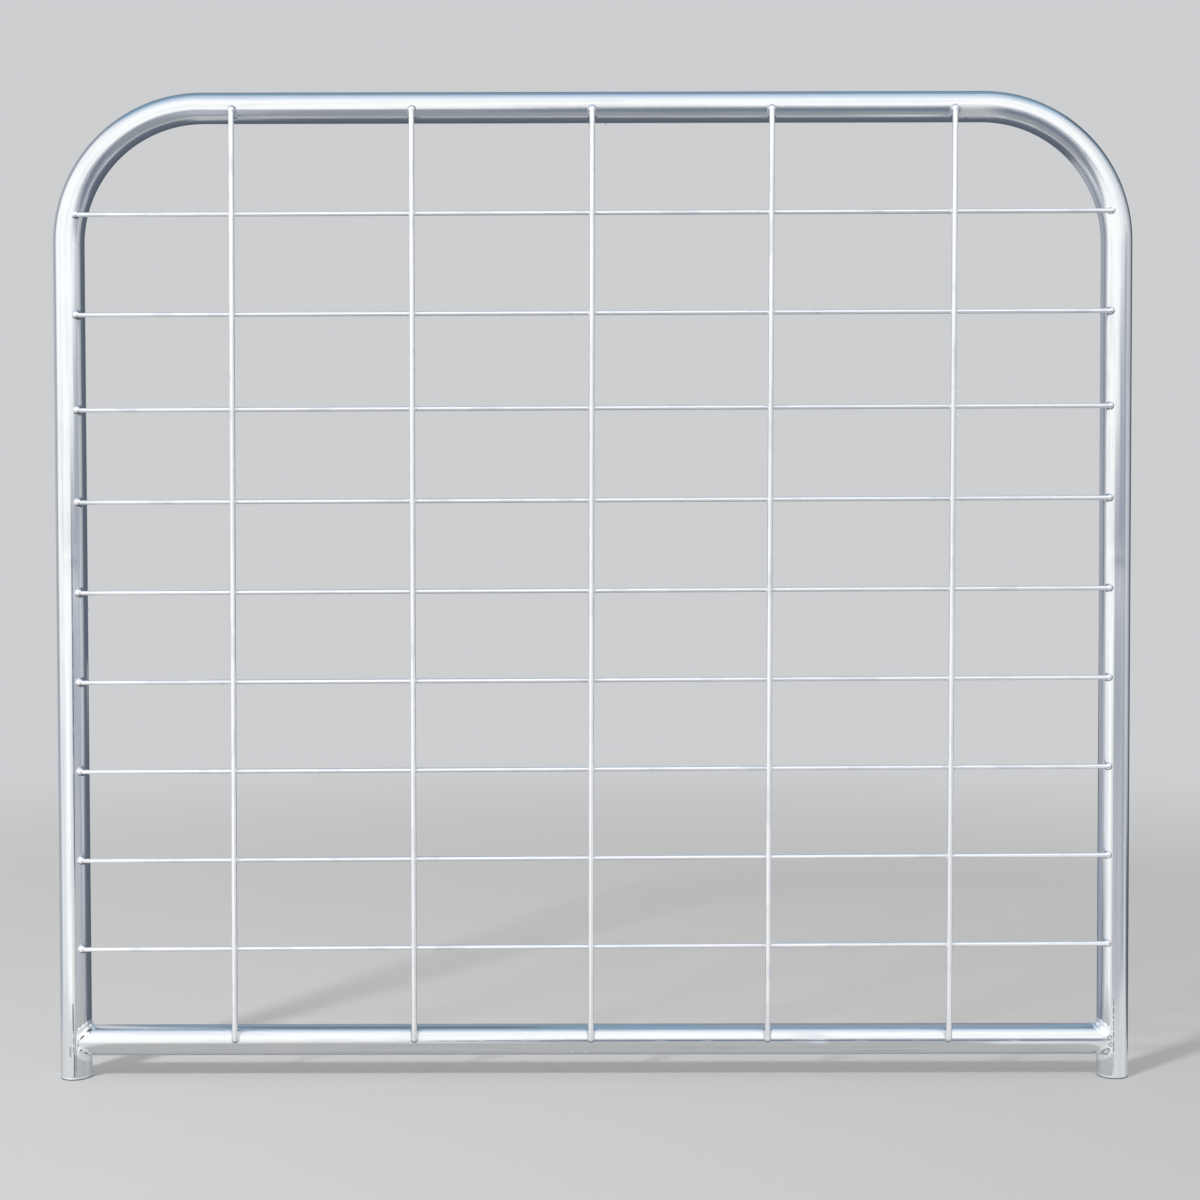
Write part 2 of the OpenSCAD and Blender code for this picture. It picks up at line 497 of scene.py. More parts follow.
def tube_finish(node):
    """Bright drawn tube: streaks and bands along it, dull patches, marks by the feet, a bright rim on the
    feet that is partly a painted highlight, and painted contact shade under it.
    """
    zinc = look("zinc_look")
    z = Zinc(f"{node}_zinc")
    across, along = TUBES[node](z)
    drawn = z.vector(across, z.y, along * 0.012)
    streaks = z.grain(drawn, 900.0, 4.0)
    bands = z.grain(drawn, 300.0, 2.0)
    clouds = z.grain(z.vector(across, z.y, along * 0.25), 60.0, 3.0)
    waves = z.grain(z.vector(across, z.y, along), 34.0, 2.0)
    grains = z.grain(z.place, 1500.0, 2.0)
    dull = z.ease(bands * 0.65 + clouds * 0.35, 0.46, 0.66)
    share = LEG_BANDS if node in LEGS else OTHER_BANDS
    colour = z.blend(dull * share, rgba(zinc.tube_colour), rgba(zinc.dull_colour))
    roughness = dull * 0.05 + streaks * 0.08 + (zinc.gloss - 0.04)
    height = waves * (0.07 * MM) + bands * (0.015 * MM) + streaks * (0.002 * MM) + grains * (0.001 * MM)
    if node in SEAM_AND_REFLECTION_LINES:
        # Seam lines; the left leg's is partly a painted dark reflection edge
        colour = z.blend(seam_and_reflection_line_on(z, node) * 0.9, colour, rgba(zinc.seam_and_reflection_colour))
    if node in LEGS:
        scratch = scratches_on(z, node)
        rub = rubs_on(z, node)
        # A bright rim on each foot: whitish zinc on the cut edge, and partly a painted highlight of its
        # rounded edge
        rim = z.ease(z.z, 3.6 * MM, 2.6 * MM)
        # Painted contact shade: the lowest 1.5 mm of each leg turns to the pits' colour, standing in for the
        # shadow where the foot meets the floor
        painted_contact_shade = z.ease(z.z, 1.5 * MM, 1.0 * MM)
        colour = z.blend(rub * 0.5, colour, rgba(zinc.pit_and_shade_colour))
        colour = z.blend(scratch * 0.85, colour, rgba(zinc.pit_and_shade_colour))
        colour = z.blend(rim, colour, rgba(zinc.bright_zinc_and_highlight_colour))
        colour = z.blend(painted_contact_shade * 0.85, colour, rgba(zinc.pit_and_shade_colour))
        roughness = roughness + rim * 0.22 + rub * 0.15
        height = height - scratch * (0.10 * MM) - rub * (0.12 * MM)
    if node in ("top_rail", "right_bend"):
        patch = patch_on(z)
        colour = z.blend(patch, colour, rgba(zinc.patch_colour))
        roughness = roughness + patch * 0.3
    return z.close(colour, roughness, height)


def wire_finish(name, upright):
    """Drawn wire: fine lines along it and a thick, slightly lumpy coat of zinc."""
    zinc = look("zinc_look")
    z = Zinc(name)
    along = z.z if upright else z.x
    across = z.x if upright else z.z
    streaks = z.grain(z.vector(across, z.y, along * 0.03), 1100.0, 2.0)
    lumps = z.grain(z.vector(across, z.y, along * 0.5), 110.0, 1.0)
    clouds = z.grain(z.vector(across, z.y, along * 0.3), 75.0, 2.0)
    dull = z.ease(clouds, 0.50, 0.72)
    colour = z.blend(dull * 0.26, rgba(zinc.wire_colour), rgba(zinc.dull_colour))
    roughness = streaks * 0.08 + dull * 0.05 + (zinc.gloss + 0.24)
    height = lumps * (0.02 * MM) + streaks * (0.0006 * MM)
    return z.close(colour, roughness, height)


def weld_coat(z, bare_and_painted_shade, clean, matt):
    """Zinc over a weld: duller, grainy, bare where the flux came off, and darkened where a cap's crescent of
    painted shade is given.
    """
    zinc = look("zinc_look")
    lumps = z.grain(z.place, 420.0, 3.0)
    grains = z.grain(z.place, 1700.0, 2.0)
    dull = z.ease(lumps, 0.5, 0.7)
    colour = z.blend(dull * 0.25, rgba(clean), rgba(zinc.dull_colour))
    colour = z.blend(bare_and_painted_shade, colour, rgba(zinc.pit_and_shade_colour))
    roughness = dull * 0.06 + bare_and_painted_shade * 0.25 + grains * 0.05 + (zinc.gloss + matt)
    height = lumps * (0.03 * MM) + grains * (0.002 * MM) - bare_and_painted_shade * (0.2 * MM)
    return z.close(colour, roughness, height)


# The vertex attribute that says where a cap's crescent of painted shade lies
CAP_TOE_SHADE = "toe"


def cap_finish(name):
    """Zinc over a weld cap, with a crescent of painted shade at the edge of the weld."""
    z = Zinc(name)
    pits = z.ease(z.grain(z.place, 330.0, 2.0), 0.68, 0.74) * 0.3
    # A crescent of painted shade on the cap, standing in for the dark gap and shadow that it would reflect,
    # drawn in the bare pits' colour
    toe = z.add("ShaderNodeAttribute", {"attribute_name": CAP_TOE_SHADE}, output="Fac")
    bare_and_painted_shade = pits.or_more(z.ease(toe, 0.15, 0.85) * 0.85)
    return weld_coat(z, bare_and_painted_shade, look("zinc_look").weld_colour, 0.12)


def spur_finish(name):
    return weld_coat(Zinc(name), 0.0, look("zinc_look").bright_zinc_and_highlight_colour, 0.2)


BEAD_UV = "round_and_across"
# How ragged the edges of the marks on a rail bead are
BEAD_WOBBLE = {"left": 1.8, "right": 0.7}
# Marks on the rail beads, in shares: place round, half length, place across, half width, and whether a ring
BEAD_MARKS = {
    "left": [
        (0.912, 0.026, 0.22, 0.10, False),
        (0.830, 0.026, 0.18, 0.07, False),
        (0.728, 0.013, 0.34, 0.20, False),
        (0.668, 0.012, 0.30, 0.16, False),
        (0.620, 0.020, 0.24, 0.07, False),
    ],
    "right": [
        (0.795, 0.022, 0.44, 0.32, True),
        (0.727, 0.022, 0.44, 0.32, True),
        (0.640, 0.040, 0.44, 0.24, True),
    ],
}


def bead_finish(name, side):
    """Zinc over a rail bead, with the rings and pits that the welder's stops left."""
    z = Zinc(name)
    turn, across = z.parts(z.add("ShaderNodeUVMap", {"uv_map": BEAD_UV}))[:2]
    front = abs(turn - 0.5) + 0.5
    wobble = (z.grain(z.place, 420.0, 2.0) - 0.5) * BEAD_WOBBLE[side]
    marks = 0.0
    for round_at, long, across_at, wide, ring in BEAD_MARKS[side]:
        along = (front - round_at) * (1 / long)
        way = along.with_side((across - across_at) * (1 / wide)) + wobble
        mark = z.ease(abs(way - 1), 0.4, 0.1) * 0.75 if ring else z.ease(way, 1.1, 0.7)
        marks = mark.or_more(marks)
    return weld_coat(z, marks * 0.85, look("zinc_look").bright_zinc_and_highlight_colour, 0.2)


def finish_of(name, make, *values):
    """A finish by its name, made once."""
    return bpy.data.materials.get(name) or make(name, *values)


def dress(node, material):
    """Gives a CAD node its finish."""
    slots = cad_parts[node].data.materials
    slots.clear()
    slots.append(material)


def put(name, data):
    """Puts a mesh, a lamp or a camera in the scene."""
    thing = bpy.data.objects.new(name, data)
    bpy.context.scene.collection.objects.link(thing)
    return thing


def add_piece(name, mesh, slot, *stands_for):
    """Puts a finished mesh in the scene as a piece of the gate."""
    piece = put(name, mesh)
    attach(piece, ROOT)
    if stands_for:
        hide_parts(*stands_for)


def mesh_of(name, bm, material):
    """A smooth mesh from a bmesh, its faces pointing outwards."""
    bmesh.ops.recalc_face_normals(bm, faces=bm.faces)
    for face in bm.faces:
        face.smooth = True
    mesh = bpy.data.meshes.new(name)
    bm.to_mesh(mesh)
    bm.free()
    mesh.materials.append(material)
    return mesh


def soft_min(first, second, softness):
    """The lower of two numbers, with a fillet where they meet."""
    share = max(softness - abs(first - second), 0.0) / softness
    return min(first, second) - share * share * softness * 0.25


def clamp(value):
    return min(max(value, 0.0), 1.0)


# Weld caps on the wires' ends
CAP_GRID = 34
CAP_REACH = 8.5 * MM
CAP_SUNK = 0.9 * MM
CAP_HIDDEN = 0.3 * MM
CAP_LUMP = 2.8 * MM
# Half the width of the crescent of painted shade on each cap
TOE_SHADE_HALF = 1.3 * MM
# How soft the corners are between a cap's dome and the wire, and between them and the skirt
DOME_SOFT = 0.7 * MM
SKIRT_SOFT = 0.9 * MM
# How far behind the wire's end the skirt draws in from the cap's rim to the wire
DRAWN_IN = 3 * MM
# The rim from which a skirt runs out, as a share of the cap's radius, and its top, as one of the wire's
CAP_RIM = 0.88
SKIRT_TOP = 0.55
# How fast a face falls away outside its edge
STEEP = 3.0


class CapRow(NamedTuple):
    """The caps on one tube: their wires, at which end of them, their shape and where their crescent of
    painted shade lies.
    """

    wires: list
    at_end: int
    cap_r: float
    proud: float
    lean: tuple
    toe_shade_way: tuple
    behind: float
    skirt_w: float
    offset: Callable


def cap_face(p, q, wire, row, tube_y, lump):
    """How far forward a weld cap lies at p across the wire and q past its end."""
    dome_r = row.cap_r * (1 - 0.07 * abs(lump))
    way = math.hypot(p - row.lean[0], q - row.lean[1])
    dome = wire.y + row.cap_r - wire.r - row.proud
    dome += -math.sqrt(dome_r ** 2 - way ** 2) if way < dome_r else (way - dome_r) * STEEP
    along = max(-q, 0.0)
    coat_r = wire.r * (1.02 - 0.05 * along / row.behind)
    past = math.hypot(p, max(q, 0.0))
    coat = wire.y - math.sqrt(coat_r ** 2 - past ** 2) if past < coat_r else wire.y + (past - coat_r) * STEEP
    rim = wire.r + (CAP_RIM * row.cap_r - wire.r) * clamp(1 + q / DRAWN_IN)
    climb = clamp(1 - max(past - rim, 0.0) / (row.skirt_w * (1 + 0.25 * lump))) ** 2
    climb *= clamp(1.3 - 1.6 * along / row.behind)
    foot_y = tube_y + CAP_HIDDEN
    skirt = foot_y - climb * max(foot_y - (wire.y + SKIRT_TOP * wire.r), CAP_HIDDEN)
    return soft_min(soft_min(dome, coat, DOME_SOFT), skirt, SKIRT_SOFT)


def toe_shade_share(p, q, row):
    """How far a point of a cap lies in the crescent of painted shade at the edge of the weld."""
    way = math.hypot(p - row.lean[0], q - row.lean[1])
    facing = (p * row.toe_shade_way[0] + q * row.toe_shade_way[1]) / max(math.hypot(p, q), 1e-9)
    band = clamp(1 - abs(way - row.toe_shade_way[2] * row.cap_r) / TOE_SHADE_HALF)
    return band * clamp(1.8 * facing - 0.5)


def add_cap(bm, wire, row, seed):
    """Adds one weld cap: a front that follows the weld and a back sunk in the tube's wall."""
    end = wire.end if row.at_end > 0 else wire.start
    outward = wire.way * row.at_end
    across = Vector((outward.z, 0.0, -outward.x))
    toe = bm.verts.layers.float.get(CAP_TOE_SHADE) or bm.verts.layers.float.new(CAP_TOE_SHADE)
    front, back = {}, {}
    for i in range(CAP_GRID + 1):
        for k in range(CAP_GRID + 1):
            p = (2 * i / CAP_GRID - 1) * CAP_REACH
            q = (CAP_REACH + row.behind) * k / CAP_GRID - row.behind
            at = end + across * p + outward * q
            tube_y = tube_front(row.offset(at.x, at.z))
            lump = noise.noise(Vector((p / CAP_LUMP, q / CAP_LUMP, seed * 1.37)))
            y = cap_face(p, q, wire, row, tube_y, lump)
            front[i, k] = bm.verts.new((at.x, min(y, tube_y + 0.5 * CAP_SUNK), at.z))
            # Each front vertex keeps its share of the cap's painted shade
            front[i, k][toe] = toe_shade_share(p, q, row)
            back[i, k] = bm.verts.new((at.x, tube_y + CAP_SUNK, at.z))
    steps = range(CAP_GRID)
    for i in steps:
        for k in steps:
            corners = [(i, k), (i + 1, k), (i + 1, k + 1), (i, k + 1)]
            bm.faces.new([front[c] for c in corners])
            bm.faces.new([back[c] for c in reversed(corners)])
    last = CAP_GRID
    rim = [(i, 0) for i in steps] + [(last, k) for k in steps]
    rim += [(last - i, last) for i in steps] + [(0, last - k) for k in steps]
    for here, there in zip(rim, rim[1:] + rim[:1]):
        bm.faces.new([front[there], front[here], back[here], back[there]])


def cap_rows():
    """The caps for each node of wire welds."""
    sizes = look("weld_sizes")
    proud = sizes.cap_proud
    level, raised, sunk = (0.0, 0.0), (0.5 * MM, 0.3 * MM), (0.0, 1.2 * MM)
    # slant, low, below and beside place each row's crescent of painted shade: its way across and past the
    # wire's end, and its distance out as a share of the cap's radius
    slant, low, below, beside = (0.6, 0.8, 0.98), (0.0, 1.0, 0.68), (-0.98, -0.2, 0.82), (0.4, 0.92, 0.88)
    deep = (8 * MM, sizes.rail_skirt_w)
    near = (3 * MM, sizes.skirt_w)
    rows = {
        "top_rail": (UPRIGHTS, 1, sizes.top_cap_r, proud, level, slant, *deep, arch_offset),
        "bottom_rail": (UPRIGHTS, -1, sizes.bottom_cap_r, proud, sunk, low, *deep, rail_offset),
        "left_leg": (CROSSES, -1, sizes.left_cap_r, 4 * proud, raised, below, *near, arch_offset),
        "right_leg": (CROSSES, 1, sizes.right_cap_r, 4 * proud, level, beside, *near, arch_offset),
    }
    return {f"{tube}_wire_welds": CapRow(*row) for tube, row in rows.items()}


# Beads between the bottom rail and the legs
BEAD_STEPS = 360
BEAD_SIDES = 17
BEAD_ANGLES = (math.radians(25), math.radians(155))
BEAD_ROOT = 1.7 * MM
BEAD_REACH = 9 * MM
BEAD_LUMP = 4 * MM
# The bead's line keeps this far from the leg's middle where the cope is deepest, and turns this softly there
COPE_DEPTH = 0.7 * RAIL_TIP
COPE_SOFT = 5.0 * MM
# Where the ripples are strongest and how far they spread, in radians round the rail from its top
RIPPLED_AT = 1.37 * math.pi
RIPPLED_SPREAD = 0.6
# How much longer the bead's line is than a ring round the rail
BEAD_STRETCH = 1.25


def soft_max(first, second, softness):
    return -soft_min(-first, -second, softness)


def bead_path(turn):
    """A point of the bead's line on the left leg, and the way that its face looks."""
    y = TUBE_R * math.sin(turn)
    up = TUBE_R * math.cos(turn)
    x = soft_max(abs(up), COPE_DEPTH, COPE_SOFT)
    rail_way = Vector((0.0, math.sin(turn), math.cos(turn)))
    leg_way = Vector((x, y, 0.0)).normalized()
    return Vector((x, y, up)), (rail_way + leg_way).normalized()


def outside_weld(at, fillet):
    """How far a point lies outside the leg and the rail, with a fillet in their corner."""
    leg = math.hypot(at.x, at.y) - TUBE_R
    rail = max(math.hypot(at.y, at.z) - TUBE_R, RAIL_TIP - at.x)
    return soft_min(leg, rail, fillet)


def bead_point(root, way, coat, fillet):
    """Where the bead's face is met on the way out from its root."""
    near, far = 0.0, BEAD_REACH
    for halving in range(14):
        half = (near + far) / 2
        if outside_weld(root + way * half, fillet) < coat:
            near = half
        else:
            far = half
    return root + way * near


def add_rail_bead(bm, seed, rippled):
    """Adds the bead round the coped end of the bottom rail, on the left leg, rippled low on its front."""
    sizes = look("weld_sizes")
    rings = []
    ripples = round(2 * math.pi * TUBE_R * BEAD_STRETCH / sizes.ripple_pitch)
    first, last = BEAD_ANGLES
    for step in range(BEAD_STEPS):
        turn = 2 * math.pi * step / BEAD_STEPS
        point, face_way = bead_path(turn)
        ahead = bead_path(turn + 0.01)[0] - bead_path(turn - 0.01)[0]
        side = ahead.cross(face_way).normalized()
        root = point - face_way * BEAD_ROOT
        phase = turn * ripples + 1.3 * noise.noise(Vector((turn * 5, seed, 0.0)))
        worked = 0.15 + 0.85 * math.exp(-((turn - RIPPLED_AT) / RIPPLED_SPREAD) ** 2)
        fillet = sizes.bead_fillet * (0.75 + 0.25 * math.cos(turn))
        ring = []
        for k in range(BEAD_SIDES):
            share = k / (BEAD_SIDES - 1)
            angle = first + (last - first) * share
            swell = math.sin(math.pi * share) ** 0.45
            ripple = rippled * worked * math.cos(phase + 2.2 * math.cos(angle) ** 2)
            spot = point / BEAD_LUMP + side * math.cos(angle) + Vector((seed, 0.0, 0.0))
            rough = 0.1 * noise.noise(spot)
            coat = sizes.bead_coat * swell * (1 + ripple + rough) - CAP_HIDDEN
            way = side * math.cos(angle) + face_way * math.sin(angle)
            ring.append(bm.verts.new(bead_point(root, way, coat, fillet)))
        ring.append(bm.verts.new(root))
        rings.append(ring)
    uv = bm.loops.layers.uv.new(BEAD_UV)
    for step, (ring, after) in enumerate(zip(rings, rings[1:] + rings[:1])):
        for k in range(BEAD_SIDES + 1):
            n = (k + 1) % (BEAD_SIDES + 1)
            face = bm.faces.new([ring[k], ring[n], after[n], after[k]])
            places = [(step, k), (step, k + 1), (step + 1, k + 1), (step + 1, k)]
            for loop, (round_way, across) in zip(face.loops, places):
                loop[uv].uv = (round_way / BEAD_STEPS, across / (BEAD_SIDES + 1))


# Lumps of zinc, made by one node tree on given points
def lump_tree():
    """A node tree that puts a lumpy drop of zinc on every point of a mesh."""
    tree = bpy.data.node_groups.get("zinc_lumps")
    if tree:
        return tree
    tree = bpy.data.node_groups.new("zinc_lumps", "GeometryNodeTree")
    inputs = [
        ("Points", "NodeSocketGeometry"),
        ("Radii", "NodeSocketVector"),
        ("Spread", "NodeSocketFloat"),
        ("Lumpiness", "NodeSocketFloat"),
        ("Lump size", "NodeSocketFloat"),
        ("Rounds", "NodeSocketInt"),
        ("Seed", "NodeSocketInt"),
        ("Finish", "NodeSocketMaterial"),
    ]
    for name, kind in inputs:
        tree.interface.new_socket(name, in_out="INPUT", socket_type=kind)
    tree.interface.new_socket("Lumps", in_out="OUTPUT", socket_type="NodeSocketGeometry")
    sheet = Sheet(tree)
    given = sheet.add("NodeGroupInput").socket.node
    asked = {name: Level(sheet, given.outputs[name]) for name, kind in inputs}
    ball = sheet.add("GeometryNodeMeshIcoSphere", None, {"Radius": 1.0, "Subdivisions": asked["Rounds"]})
    sizes = {2: 1 - asked["Spread"], 3: 1 + asked["Spread"], "Seed": asked["Seed"]}
    size = sheet.add("FunctionNodeRandomValue", {"data_type": "FLOAT"}, sizes, output=1)
    scale = sheet.scaled(asked["Radii"], size)
    copies = {"Points": asked["Points"], "Instance": ball, "Scale": scale}
    drops = sheet.add("GeometryNodeInstanceOnPoints", None, copies)
    real = sheet.add("GeometryNodeRealizeInstances", None, {"Geometry": drops})
    lumps = {"Vector": sheet.add("GeometryNodeInputPosition"), "Scale": asked["Lump size"], "Detail": 2.0}
    rough = sheet.add("ShaderNodeTexNoise", {"noise_dimensions": "3D"}, lumps)
    offset = sheet.scaled(sheet.add("GeometryNodeInputNormal"), (rough - 0.5) * asked["Lumpiness"])
    moved = sheet.add("GeometryNodeSetPosition", None, {"Geometry": real, "Offset": offset})
    smooth = sheet.add("GeometryNodeSetShadeSmooth", None, {"Geometry": moved})
    done = sheet.add("GeometryNodeSetMaterial", None, {"Geometry": smooth, "Material": asked["Finish"]})
    sheet.add("NodeGroupOutput", None, {"Lumps": done})
    return tree


def lumps_on(name, points, material, **values):
    """A plain mesh of zinc lumps on points."""
    seeds = bpy.data.meshes.new(f"{name}_points")
    seeds.from_pydata(points, [], [])
    carrier = put(f"{name}_points", seeds)
    tree = lump_tree()
    modifier = carrier.modifiers.new("lumps", "NODES")
    modifier.node_group = tree
    given = {key.replace("_", " ").capitalize(): value for key, value in values.items()}
    given["Finish"] = material
    for item in tree.interface.items_tree:
        if item.in_out == "INPUT" and item.name in given:
            modifier[item.identifier] = given[item.name]
    graph = bpy.context.evaluated_depsgraph_get()
    mesh = bpy.data.meshes.new_from_object(carrier.evaluated_get(graph))
    mesh.name = name
    bpy.data.objects.remove(carrier)
    bpy.data.meshes.remove(seeds)
    return mesh


class GATE_OT_finish_tubes(bpy.types.Operator):
    """Gives the frame tubes their streaked zinc"""

    bl_idname = "gate.finish_tubes"
    bl_label = "Finish tubes"

    def execute(self, context):
        for node in TUBES:
            dress(node, tube_finish(node))
        return {"FINISHED"}


class GATE_OT_finish_wires(bpy.types.Operator):
    """Gives the mesh wires their zinc"""

    bl_idname = "gate.finish_wires"
    bl_label = "Finish wires"

    def execute(self, context):
        for node in UPRIGHTS:
            dress(node, finish_of("upright_wire_zinc", wire_finish, True))
        for node in CROSSES:
            dress(node, finish_of("cross_wire_zinc", wire_finish, False))
        return {"FINISHED"}


class GATE_OT_weld_caps(bpy.types.Operator):
    """Builds the welds on the wires' ends"""

    bl_idname = "gate.weld_caps"
    bl_label = "Build weld caps"

    def execute(self, context):
        for node, row in cap_rows().items():
            bm = bmesh.new()
            for seed, wire in enumerate(row.wires):
                add_cap(bm, WIRES[wire], row, seed + len(node))
            name = node.replace("wire_welds", "weld_caps")
            add_piece(name, mesh_of(name, bm, finish_of("weld_cap_zinc", cap_finish)), "zinc_weld", node)
        return {"FINISHED"}


class GATE_OT_rail_beads(bpy.types.Operator):
    """Builds the beads at the ends of the bottom rail"""

    bl_idname = "gate.rail_beads"
    bl_label = "Build rail beads"

    def execute(self, context):
        turned = Matrix.Diagonal((-1.0, 1.0, 1.0, 1.0))
        left = Matrix.Translation((LEFT_X, 0, RAIL_Z))
        right = Matrix.Translation((RIGHT_X, 0, RAIL_Z)) @ turned
        for side, place, seed, rippled in (("left", left, 2.0, 0.06), ("right", right, 9.0, 0.2)):
            bm = bmesh.new()
            add_rail_bead(bm, seed, rippled)
            bm.transform(place)
            name = f"{side}_rail_bead"
            mesh = mesh_of(name, bm, bead_finish(f"{name}_zinc", side))
            add_piece(name, mesh, "zinc_weld", f"{side}_rail_weld")
        return {"FINISHED"}


class GATE_OT_weld_spurs(bpy.types.Operator):
    """Adds the spurs of weld in the corners over the bottom rail"""

    bl_idname = "gate.weld_spurs"
    bl_label = "Add weld spurs"

    def execute(self, context):
        reach = look("weld_sizes").spur_r
        out = TUBE_R + 0.3 * reach
        points = [(x, y * reach, RAIL_Z + out) for x in (LEFT_X + out, RIGHT_X - out) for y in (-1.8, 1.8)]
        mesh = lumps_on(
            "weld_spurs",
            points,
            finish_of("weld_spur_zinc", spur_finish),
            radii=(reach, 1.1 * reach, reach),
            spread=0.2,
            lumpiness=1.2 * MM,
            lump_size=260.0,
            rounds=4,
            seed=8,
        )
        add_piece("weld_spurs", mesh, "zinc_weld")
        return {"FINISHED"}


class GATE_OT_crossing_fillets(bpy.types.Operator):
    """Fills the corners where the wires cross with zinc"""

    bl_idname = "gate.crossing_fillets"
    bl_label = "Fill crossings"

    def execute(self, context):
        reach = look("weld_sizes").fillet_r
        weld_y = (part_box(UPRIGHTS[0])[1].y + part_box(CROSSES[0])[0].y) / 2
        spots = [WIRES[u].crossing(WIRES[c]) for u in UPRIGHTS for c in CROSSES]
        mesh = lumps_on(
            "crossing_fillets",
            [(spot.x, weld_y, spot.z) for spot in spots],
            finish_of("cross_wire_zinc", wire_finish, False),
            radii=(reach, 0.5 * reach, 0.92 * reach),
            spread=0.10,
            lumpiness=0.6 * MM,
            lump_size=300.0,
            rounds=4,
            seed=5,
        )
        add_piece("crossing_fillets", mesh, "zinc_wire")
        return {"FINISHED"}


# Places in mm along the bottom rail of the nubs on its front, and how far down they sit, in radians
FRONT_NUBS = (559, 573)
FRONT_NUB_TURN = 0.66
# How many nubs hang under each rail, and how far from the legs they start
NUBS_UNDER = {RAIL_Z: 6, TOP_Z: 4}
NUBS_FROM = 0.2


class GATE_OT_zinc_nubs(bpy.types.Operator):
    """Adds the nubs of zinc that the bath left on the tubes"""

    bl_idname = "gate.zinc_nubs"
    bl_label = "Add zinc nubs"

    def execute(self, context):
        draw = random.Random(11)
        points = []
        for leg_x, inwards in ((LEFT_X, 1), (RIGHT_X, -1)):
            for count in range(4):
                turn = draw.uniform(1.8, 2.6) * inwards
                z = draw.uniform(0.1, LEG_TOP)
                points.append((leg_x + TUBE_R * math.sin(turn), -TUBE_R * math.cos(turn), z))
        on_rails = []
        for rail_z, number in NUBS_UNDER.items():
            for count in range(number):
                x = draw.uniform(LEFT_X + NUBS_FROM, RIGHT_X - NUBS_FROM)
                on_rails.append((x, draw.uniform(1.5, 2.1), rail_z))
        on_rails += [(x * MM, FRONT_NUB_TURN, RAIL_Z) for x in FRONT_NUBS]
        for x, turn, rail_z in on_rails:
            points.append((x, -TUBE_R * math.cos(turn), rail_z - TUBE_R * math.sin(turn)))
        radius = look("weld_sizes").nub_r
        mesh = lumps_on(
            "zinc_nubs",
            points,
            finish_of("weld_cap_zinc", cap_finish),
            radii=(radius, radius, 1.5 * radius),
            spread=0.35,
            lumpiness=0.4 * MM,
            lump_size=500.0,
            rounds=3,
            seed=3,
        )
        add_piece("zinc_nubs", mesh, "zinc_tube")
        return {"FINISHED"}


# A tent of boards round the gate, which only its reflections show
FLOOR_HALF = 14.0
TENT_FRONT = -2.1
TENT_BACK = 3.4
TENT_LEFT = -1.9
TENT_RIGHT = 2.9
TENT_LOW = -0.9
TENT_ROOF = 3.4
# How far a card lies over the floor, and one board before another
CARD_Z = 0.003
# The level boards lie at the camera's height, one just over it and one just under it
EYE_Z = 0.583
OVER_EYE = EYE_Z + CARD_Z
UNDER_EYE = EYE_Z - CARD_Z


def times(light, share):
    return [share * level for level in light]


def add_board(name, corner, first_edge, second_edge, light):
    """A flat board of even light that shows only in reflections."""
    start, first, second = Vector(corner), Vector(first_edge), Vector(second_edge)
    mesh = bpy.data.meshes.new(name)
    mesh.from_pydata([start, start + first, start + first + second, start + second], [], [(0, 1, 2, 3)])
    paint = Paint(name)
    mesh.materials.append(paint.cover(paint.glow(light)))
    board = put(name, mesh)
    board.visible_camera = False
    board.visible_diffuse = False
    board.visible_shadow = False


def wall_board(name, x_range, y_range, z_range, light):
    """An upright board between two corners of the floor plan."""
    along = (x_range[1] - x_range[0], y_range[1] - y_range[0], 0)
    add_board(name, (x_range[0], y_range[0], z_range[0]), along, (0, 0, z_range[1] - z_range[0]), light)


def flat_board(name, x_range, y_range, z, light):
    """A level board."""
    across = (x_range[1] - x_range[0], 0, 0)
    add_board(name, (x_range[0], y_range[0], z), across, (0, y_range[1] - y_range[0], 0), light)


